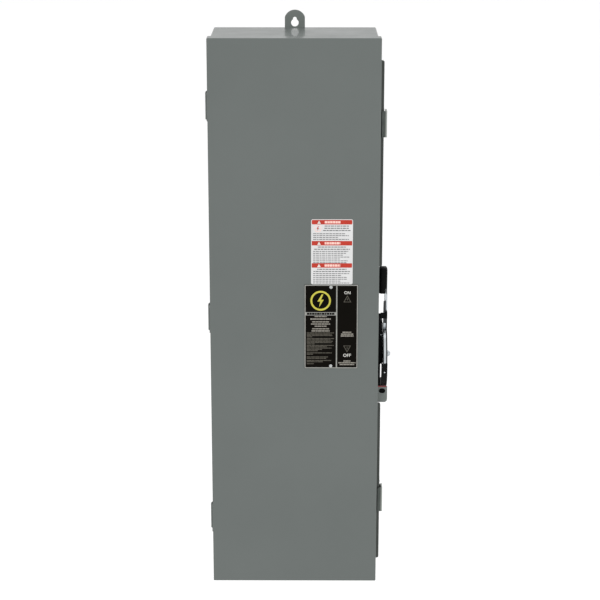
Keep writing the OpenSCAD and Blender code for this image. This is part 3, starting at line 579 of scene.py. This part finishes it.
def build_label():
    """Print of the white label: three panels, each with a red heading and grey lines."""
    x0, x1, _, z1, y = front_edges("warning_label")
    face = y - INK * MM
    red = bmesh.new()
    white = bmesh.new()
    pink = bmesh.new()
    grey = bmesh.new()
    heading_pitch = 3.4
    # Each panel's drop below the label's top, its centred lines and their indent, and its other lines.
    panels = ((0.9, 3, 17, 4), (33.0, 2, 3, 7), (67.2, 2, 3, 7))
    for k, (drop, headings, indent, lines) in enumerate(panels):
        first = k == 0
        top = z1 - drop
        low = top - LABEL_BAND
        text_top = low - LABEL_TEXT_GAP
        add_prism(red, rounded(x0 + LABEL_EDGE, x1 - LABEL_EDGE, low, top, 1.6 if first else 0.8), y, INK)
        add_prism(white, triangle(x0 + 11.8, low + 0.9, 2.7, 5.0), face, INK)
        word_row(pink, x0 + 20.2, x0 + 43.6, top - 5.2, 3.5, face, 2 + k, letter=2.6)
        text_lines(grey, x0 + indent, x1 - 3, text_top, headings, 1.4, heading_pitch, y, 20 + k,
                   centred=True, share=0.7)
        body_top = text_top - headings * heading_pitch - (1.6 if first else 0)
        text_lines(grey, x0 + 3, x1 - 4, body_top, lines, 1.15, 2.9, y, 30 + k, share=0.66)
    sign_x, sign_z = x0 + 10, z1 - 14.0
    add_frame(pink, circle_points(sign_x, sign_z, 5.4), circle_points(sign_x, sign_z, 4.6), y)
    add_prism(red, bolt_points(sign_x, sign_z, 7.4), y, INK)
    add_piece("label_print_red", red, "ink_red", "door")
    add_piece("label_print_white", white, "ink_white", "door")
    add_piece("label_print_pink", pink, "ink_pink", "door")
    add_piece("label_print_text", grey, "ink_text", "door")


# ---------- fittings ----------

def grip_ring(mesh, place, rise, mid_x, half_x, around=36):
    """One ring of the grip's squared oval, rise mm above its foot."""
    dome = max(0.0, (rise - (GRIP_TOP - GRIP_LOW - GRIP_DOME)) / GRIP_DOME)
    shrink = math.sqrt(max(0.0, 1 - dome ** 2))
    foot = 0.95 + 0.05 * min(1.0, rise / 2)
    rib = 0.0
    if GRIP_RIBS[0] < rise < GRIP_RIBS[1]:
        rib = GRIP_RIB_HEIGHT * math.sin(rise / GRIP_RIB_PITCH * 2 * math.pi)
    depth = (GRIP_HALF_DEPTH + rib) * MM * (0.4 + 0.6 * shrink) * foot
    width = half_x * (0.45 + 0.55 * shrink) * foot
    ring = []
    for i in range(around):
        angle = 2 * math.pi * i / around
        across, along = math.cos(angle), math.sin(angle)
        x = width * math.copysign(abs(across) ** GRIP_CORNER, across)
        y = depth * math.copysign(abs(along) ** GRIP_CORNER, along)
        ring.append(mesh.verts.new(place @ Vector((mid_x + x, y, (GRIP_LOW + rise) * MM))))
    return ring


def build_grip():
    """Moulded grip: an oval section with faint ribs that closes in a dome."""
    low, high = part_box("handle_grip")
    pivot = Vector(JOINTS["handle_turn"]["pos_m"])
    lean = Matrix.Rotation(math.radians(LEVER_LEAN), 4, "X")
    place = Matrix.Translation((0, pivot.y, pivot.z)) @ lean
    mid_x = (low[0] + high[0]) / 2
    half_x = (high[0] - low[0]) / 2
    levels = 30
    mesh = bmesh.new()
    rings = [grip_ring(mesh, place, (GRIP_TOP - GRIP_LOW) * k / levels, mid_x, half_x)
             for k in range(levels)]
    tip = mesh.verts.new(place @ Vector((mid_x, 0, GRIP_TOP * MM)))
    mesh.faces.new(list(reversed(rings[0])))
    join_rings(mesh, rings)
    close_tip(mesh, rings[-1], tip)
    grip = add_piece("grip_moulding", mesh, "grip", "handle", sharp=60)
    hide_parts("handle_grip")


def build_handle_marks():
    """Two small bright rivets: one on the front of the housing, one on the bumper."""
    radius = 1.3
    housing_x, housing_z = 132.2, -32.5
    bumper_x, bumper_reach, bumper_turn = 137.2, 50.3, 18
    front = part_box("handle_housing")[0][1]
    sunk = 0.1 * MM
    on_housing = bmesh.new()
    add_dome(on_housing, (housing_x * MM, front + sunk, housing_z * MM), radius, 0.8, (0, -1, 0))
    add_piece("housing_rivet", on_housing, "zinc", "enclosure")

    pivot = Vector(JOINTS["handle_turn"]["pos_m"])
    angle = math.radians(bumper_turn)
    outward = Vector((0, -math.cos(angle), -math.sin(angle)))
    centre = Vector((bumper_x * MM, pivot.y, pivot.z)) + outward * bumper_reach * MM
    on_bumper = bmesh.new()
    add_dome(on_bumper, centre, radius, 0.6, outward)
    add_piece("bumper_rivet", on_bumper, "zinc", "handle")


def build_latch_rivets():
    """Four rivet heads on each latch base, which the plain solids leave out."""
    plate_thick = 2
    front_margin, back_margin = 6, 8
    half_pitch = 19
    radius, height = 3.1, 1.3
    face_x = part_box("handle_bracket")[0][0] + plate_thick * MM
    for place in LATCHES:
        low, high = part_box(f"latch_base_{place}")
        mid_z = (low[2] + high[2]) / 2
        heads = bmesh.new()
        for y in (low[1] + front_margin * MM, high[1] - back_margin * MM):
            for side in (-1, 1):
                add_dome(heads, (face_x, y, mid_z + side * half_pitch * MM), radius, height, (1, 0, 0))
        add_piece(f"latch_rivets_{place}", heads, "zinc", "enclosure")


def build_hinge_rivets():
    """Two rivet heads on each hinge's body leaf."""
    leaf_thick = 2
    back_margin = 9
    half_pitch = 12
    radius, height = 3.0, 1.2
    face_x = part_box("body_shell")[0][0] - leaf_thick * MM
    for place in HINGES:
        low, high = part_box(f"hinge_body_leaf_{place}")
        mid_z = (low[2] + high[2]) / 2
        y = high[1] - back_margin * MM
        heads = bmesh.new()
        for side in (-1, 1):
            add_dome(heads, (face_x, y, mid_z + side * half_pitch * MM), radius, height, (-1, 0, 0))
        add_piece(f"hinge_rivets_{place}", heads, "paint", "enclosure")


def build_breaker_print():
    """Marks on the breaker's face: I and O beside the lever, and a plain rating panel."""
    x0, x1, z0, z1, ridge_y = front_edges("breaker_cover")
    face_y = ridge_y + 4 * MM
    mid_x = (x0 + x1) / 2
    mid_z = (z0 + z1) / 2
    off_z = mid_z - 28
    panel = (mid_x - 48, mid_x - 20, mid_z - 30, mid_z + 30)
    marks = bmesh.new()
    add_bar(marks, mid_x - 0.7, mid_x + 0.7, mid_z + 26.2, mid_z + 30, ridge_y)
    add_frame(marks, circle_points(mid_x, off_z, 1.9, 24), circle_points(mid_x, off_z, 1.2, 24), ridge_y)
    add_frame(marks, rounded(*panel, 2), inset(*panel, 0.6, 1.6), face_y)
    text_lines(marks, mid_x - 45, mid_x - 23, mid_z + 26, 11, 1.4, 4.6, face_y, 41)
    text_lines(marks, mid_x + 22, mid_x + 44, mid_z + 34, 4, 1.6, 4.2, face_y, 47, centred=True)
    add_piece("breaker_marks", marks, "ink_grey", "enclosure")


# ---------- stage, light and camera ----------

def build_floor():
    mesh = bmesh.new()
    bmesh.ops.create_grid(mesh, x_segments=2, y_segments=2, size=FLOOR_REACH)
    data = bpy.data.meshes.new("floor")
    mesh.to_mesh(data)
    mesh.free()
    data.materials.append(finish_of("floor_white", "#FEFEFE", "#FCFCFC", (0.7, 0.9), patch=0.6,
                                    grain=20, bump=0.02))
    floor = bpy.data.objects.new("floor", data)
    floor.location = (0, 0, cad_box[0][2] - FLOOR_DROP)
    bpy.context.scene.collection.objects.link(floor)


def build_world():
    world = bpy.data.worlds.new("studio")
    bpy.context.scene.world = world
    world.use_nodes = True
    background = world.node_tree.nodes["Background"]
    background.inputs["Color"].default_value = (1, 1, 1, 1)
    background.inputs["Strength"].default_value = WORLD_STRENGTH


def add_area(name, place, size, power):
    """A soft rectangular light at place, in metres, aimed at the origin."""
    data = bpy.data.lights.new(name, "AREA")
    data.shape = "RECTANGLE"
    data.size, data.size_y = size
    data.energy = power
    light = bpy.data.objects.new(name, data)
    light.location = place
    light.rotation_euler = (-Vector(place)).to_track_quat("-Z", "Y").to_euler()
    bpy.context.scene.collection.objects.link(light)


def build_lights():
    add_area("key", (-1.6, -2.8, 1.5), (1.6, 1.6), 24)
    add_area("fill", (2.4, -2.0, 0.8), (1.4, 2.0), 10)
    add_area("top", (0, 0.2, 2.6), (2.0, 1.4), 10)


def build_camera():
    data = bpy.data.cameras.new("camera")
    data.lens = CAMERA_LENS
    data.sensor_width = CAMERA_SENSOR
    data.clip_end = CAMERA_REACH
    camera = bpy.data.objects.new("camera", data)
    camera.location = CAMERA_PLACE
    camera.rotation_euler = (math.radians(90 - CAMERA_PITCH), 0, math.radians(CAMERA_YAW))
    bpy.context.scene.collection.objects.link(camera)
    bpy.context.scene.camera = camera
    bpy.context.scene.view_settings.view_transform = "Standard"


build_camera()
build_floor()
build_world()
build_lights()
dress_nodes()
build_plate_border()
build_plate_headings()
build_plate_small_print()
build_plate_words()
build_plate_emblem()
build_label()
build_grip()
build_handle_marks()
build_latch_rivets()
build_hinge_rivets()
build_breaker_print()
